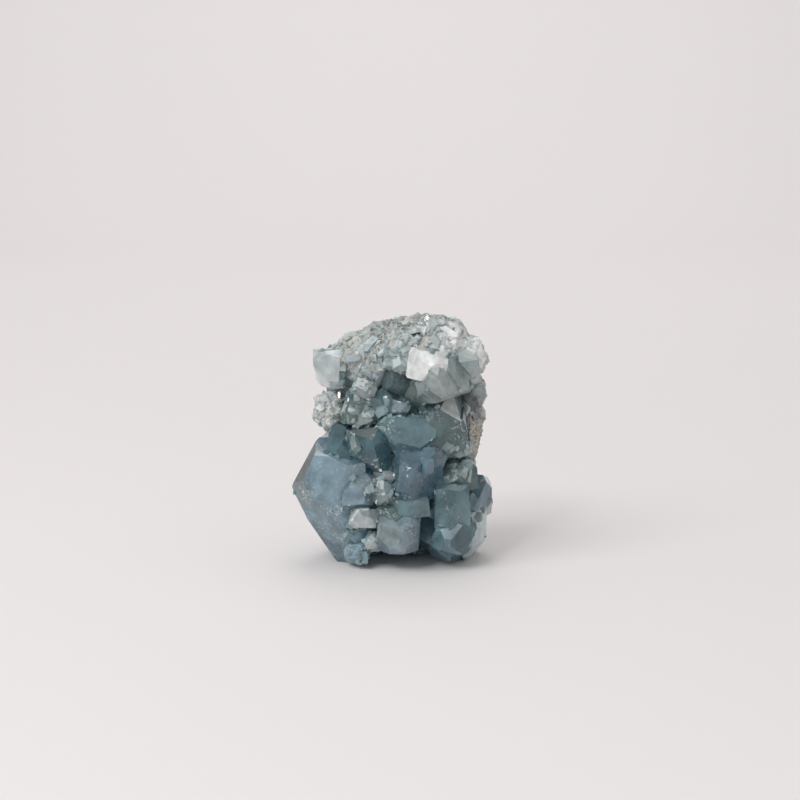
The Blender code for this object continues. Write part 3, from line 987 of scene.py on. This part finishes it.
def noise(flow, place, size, detail=2.0, rough=0.5):
    """Soft noise with features of about this size, in metres."""
    inputs = {"Vector": place, "Scale": 1 / size, "Detail": detail, "Roughness": rough}
    return flow.node("TexNoise", {}, inputs, "Fac")


def ramp(flow, value, *stops):
    return flow.node("ValToRGB", {"stops": stops}, {"Fac": value}, "Color")


def blend(flow, share, first, second):
    """A colour that goes from first to second as share goes from 0 to 1."""
    return flow.node("Mix", {"data_type": "RGBA"}, {0: share, 6: first, 7: second}, 2)


def times(flow, colour, factor):
    """A colour made lighter or darker by a number."""
    return flow.node("VectorMath", {"operation": "SCALE"}, {0: colour, "Scale": factor})


def near(flow, place, spot, radius):
    """1 at a spot, and 0 from a radius away."""
    away = flow.node("VectorMath", {"operation": "DISTANCE"}, {0: place, 1: spot}, "Value")
    return ramp(flow, away * (1 / radius), (0.5, 1.0), (1.0, 0.0))


# %% [markdown]
# ## The crystal's material
# Celestite is see-through, but veils of tiny bubbles and cracks cloud it from place to place. So two
# shaders are mixed. One is clear: light goes through it and bends, and the volume inside takes away
# a little red. The other is cloudy and shows the tint of the face, with light spreading under the
# surface. Veils, and faces that are chipped, have more of the cloudy one. Where the stone was
# knocked, crushed crystal shows as white flecks.

# %% The crystal's material
CELESTITE_IOR = 1.62
CLEAR_COLOUR = (0.86, 0.94, 0.97, 1)
DEPTH_COLOUR = (0.42, 0.66, 0.75, 1)
DEPTH_DENSITY = 90.0

# Each place where the stone was knocked has a radius, all in millimetres.
CRUSHED_SPOTS = [
    ((-19, -12, 18), 4.5), ((-13, -15, 15), 4), ((-14, -14, 7.5), 5.5), ((11, -16, 38), 4),
    ((17, -14, 33), 4), ((5, -19, 10.5), 3), ((-6.5, -17, 25), 3), ((-3.5, -15, 25.5), 3),
]


def white_flecks(flow, place):
    """1 on a fleck of crushed crystal, and 0 elsewhere."""
    flecks = ramp(flow, noise(flow, place, 0.65 * MM, 3, 0.65), (0.56, 0.0), (0.60, 1.0))
    crushed = ramp(flow, noise(flow, place, 4 * MM, 2), (0.58, 0.0), (0.68, 1.0))
    for spot, radius in CRUSHED_SPOTS:
        crushed = crushed + near(flow, place, Vector(spot) * MM + step, radius * MM)
    return flecks * crushed


def celestite_material():
    material, flow = new_material("celestite")
    place = flow.node("TexCoord", out="Object")
    tint = attribute(flow, "tint", "Color")
    chipped = attribute(flow, "chipped", "Fac")
    veils = ramp(flow, noise(flow, place, 5 * MM, 3), (0.35, 0.0), (0.65, 1.0))
    patches = noise(flow, place, 1.6 * MM, 3)
    waves = noise(flow, place, 2.2 * MM, 2)
    grain = noise(flow, place, 0.3 * MM, 2)
    colour = times(flow, tint, 0.6 + patches * 0.8)
    colour = blend(flow, white_flecks(flow, place) * 0.85, colour, (*TONES["white"], 1))
    bump = flow.node("Bump", {}, {
        "Strength": 0.35, "Distance": 0.07 * MM, "Height": waves + grain * 0.15})
    clear = flow.node("BsdfPrincipled", {}, {
        "Base Color": CLEAR_COLOUR, "Roughness": 0.08 + patches * 0.12, "IOR": CELESTITE_IOR,
        "Transmission Weight": 1.0, "Normal": bump})
    cloudy = flow.node("BsdfPrincipled", {}, {
        "Base Color": colour, "Roughness": 0.18 + patches * 0.12 + chipped * 0.2,
        "IOR": CELESTITE_IOR, "Subsurface Weight": 0.25, "Subsurface Radius": (0.6, 1.0, 1.2),
        "Subsurface Scale": 1.2 * MM, "Coat Weight": 0.6, "Coat Roughness": 0.06, "Coat IOR": 1.6,
        "Normal": bump})
    cloudiness = 0.4 + veils * 0.3 + chipped * 0.5
    surface = flow.node("MixShader", {}, {0: cloudiness, 1: clear, 2: cloudy})
    depth = flow.node("VolumeAbsorption", {}, {"Color": DEPTH_COLOUR, "Density": DEPTH_DENSITY})
    flow.node("OutputMaterial", {}, {"Surface": surface, "Volume": depth})
    return material


# %% [markdown]
# ## The rock's material
# Rock is the plain opposite: dull, grainy and rough. Its tint comes from the zones, a fine noise
# breaks it into grains, and brown specks lie thickest where the zones say that it is speckled.

# %% The rock's material
SPECK_BROWN = (0.10, 0.085, 0.065, 1)


def rock_material():
    material, flow = new_material("rock")
    place = flow.node("TexCoord", out="Object")
    tint = attribute(flow, "tint", "Color")
    speckled = attribute(flow, "speckled", "Fac")
    patches = noise(flow, place, 4 * MM, 4)
    grains = noise(flow, place, 0.8 * MM, 3)
    specks = noise(flow, place, 0.6 * MM, 3, 0.7) + patches * 0.25
    specks = ramp(flow, specks, (0.64, 0.0), (0.70, 1.0))
    colour = times(flow, tint, 0.35 + patches * 0.6 + grains * 0.7)
    colour = blend(flow, specks * speckled * 0.85, colour, SPECK_BROWN)
    bump = flow.node("Bump", {}, {"Strength": 1.0, "Distance": 0.4 * MM, "Height": grains})
    surface = flow.node("BsdfPrincipled", {}, {
        "Base Color": colour, "Roughness": 0.55 + grains * 0.3, "IOR": 1.55, "Normal": bump})
    flow.node("OutputMaterial", {}, {"Surface": surface})
    return material


# %% Give the pieces their materials
def give(piece, material):
    piece.data.materials.clear()
    piece.data.materials.append(material)
    print(piece.name, "got", material.name, "with", len(material.node_tree.nodes), "nodes")


give(crystal_mass, celestite_material())
give(rock, rock_material())

# %% [markdown]
# ## The studio
# The stone stands on pale paper that sweeps up into a backdrop behind it. The sweep starts as a
# plane. Its back edge is pulled up, and the fold that this leaves is rounded with a wide bevel.

# %% The paper sweep
PAPER_MIDDLE = 0.2
PAPER_HEIGHT = 2
PAPER_BEND = 0.6


def select_edges(piece, wanted):
    """Goes into edit mode with only those edges selected whose two ends are wanted."""
    switch_to("EDIT")
    bpy.ops.mesh.select_mode(type="EDGE")
    bpy.ops.mesh.select_all(action="DESELECT")
    switch_to("OBJECT")
    for edge in piece.data.edges:
        edge.select = all(wanted(piece.data.vertices[i].co) for i in edge.vertices)
    switch_to("EDIT")


select_only(rock)
bpy.ops.mesh.primitive_plane_add(size=1)
floor = bpy.context.object
floor.name = "floor"
floor.scale = (4, 2.4, 1)
floor.location = (0, PAPER_MIDDLE, 0)
set_in_mesh(floor)
select_edges(floor, lambda corner: corner.y > PAPER_MIDDLE)
bpy.ops.mesh.extrude_region_move(TRANSFORM_OT_translate={"value": (0, 0, PAPER_HEIGHT)})
switch_to("OBJECT")
select_edges(floor, lambda corner: corner.y > PAPER_MIDDLE and corner.z < PAPER_HEIGHT / 2)
bpy.ops.mesh.bevel(offset=PAPER_BEND, segments=24, affect="EDGES")
switch_to("OBJECT")
bpy.ops.object.shade_smooth()
paper, flow = new_material("paper")
surface = flow.node("BsdfPrincipled", {}, {
    "Base Color": (0.82, 0.79, 0.785, 1), "Roughness": 0.9})
flow.node("OutputMaterial", {}, {"Surface": surface})
give(floor, paper)

# %% [markdown]
# A large soft light at the front left makes the shadow that falls to the right. A small one beside
# it is there for the sparkle: only a small light gives a sharp glint on a facet. One from above and
# behind brightens the cap, and one lights the backdrop. Faint light from all round softens the rest.

# %% The lights
Lamp = namedtuple("Lamp", "name place aim size power")

LOW_ON_STONE = (0, 0, 0.03)
LAMPS = [
    Lamp("key", (-0.55, -0.55, 0.75), LOW_ON_STONE, 0.8, 4.7),
    Lamp("spark", (-0.3, -0.65, 0.6), LOW_ON_STONE, 0.14, 0.9),
    Lamp("top", (0.1, 0.3, 1.1), LOW_ON_STONE, 0.9, 1.95),
    Lamp("backdrop", (0, 0.75, 1.0), (0, 1.3, 0.2), 0.6, 2.8),
]


def put(name, data, place, target):
    """Puts a lamp or a camera at a place, turned to its target."""
    thing = bpy.data.objects.new(name, data)
    thing.location = place
    thing.rotation_euler = (Vector(target) - Vector(place)).to_track_quat("-Z", "Y").to_euler()
    bpy.context.scene.collection.objects.link(thing)
    return thing


for lamp in LAMPS:
    light = bpy.data.lights.new(lamp.name, "AREA")
    light.shape = "DISK"
    light.size = lamp.size
    light.energy = lamp.power
    put(lamp.name, light, lamp.place, lamp.aim)
world = bpy.data.worlds.new("studio")
bpy.context.scene.world = world
world.use_nodes = True
world.node_tree.nodes["Background"].inputs["Color"].default_value = (1, 0.99, 0.985, 1)
world.node_tree.nodes["Background"].inputs["Strength"].default_value = 0.47
bpy.context.scene.view_settings.view_transform = "Standard"
print("hung", len(LAMPS), "lamps")

# %% [markdown]
# The camera looks at the front of the stone from a little above, through a long lens, which keeps
# the stone's sides almost parallel. It aims above the stone's middle, so the stone stands low in
# the picture.

# %% The camera
TARGET = Vector((2.2, 0, 38.2)) * MM + step
DISTANCE = 533 * MM
ELEVATION = math.radians(9)
lens = bpy.data.cameras.new("camera")
lens.lens = 100
lens.sensor_width = 36
place = TARGET + Vector((0, -math.cos(ELEVATION), math.sin(ELEVATION))) * DISTANCE
bpy.context.scene.camera = put("camera", lens, place, TARGET)
print("the camera stands", round(DISTANCE / MM), "mm away")

# %% [markdown]
# ## Handing the pieces over
# The shapes that were only there to be copied are thrown away. Crystals and rock together stand for
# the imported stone, which is one solid because they grew as one. Both ride on its only body.

# %% Hand the pieces over
for shape in (chip_shape, block_shape, *small_blocks):
    bpy.data.meshes.remove(shape.data)
for piece, slot in ((crystal_mass, "celestite"), (rock, "rock")):
    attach(piece, "root")
    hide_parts(STONE)
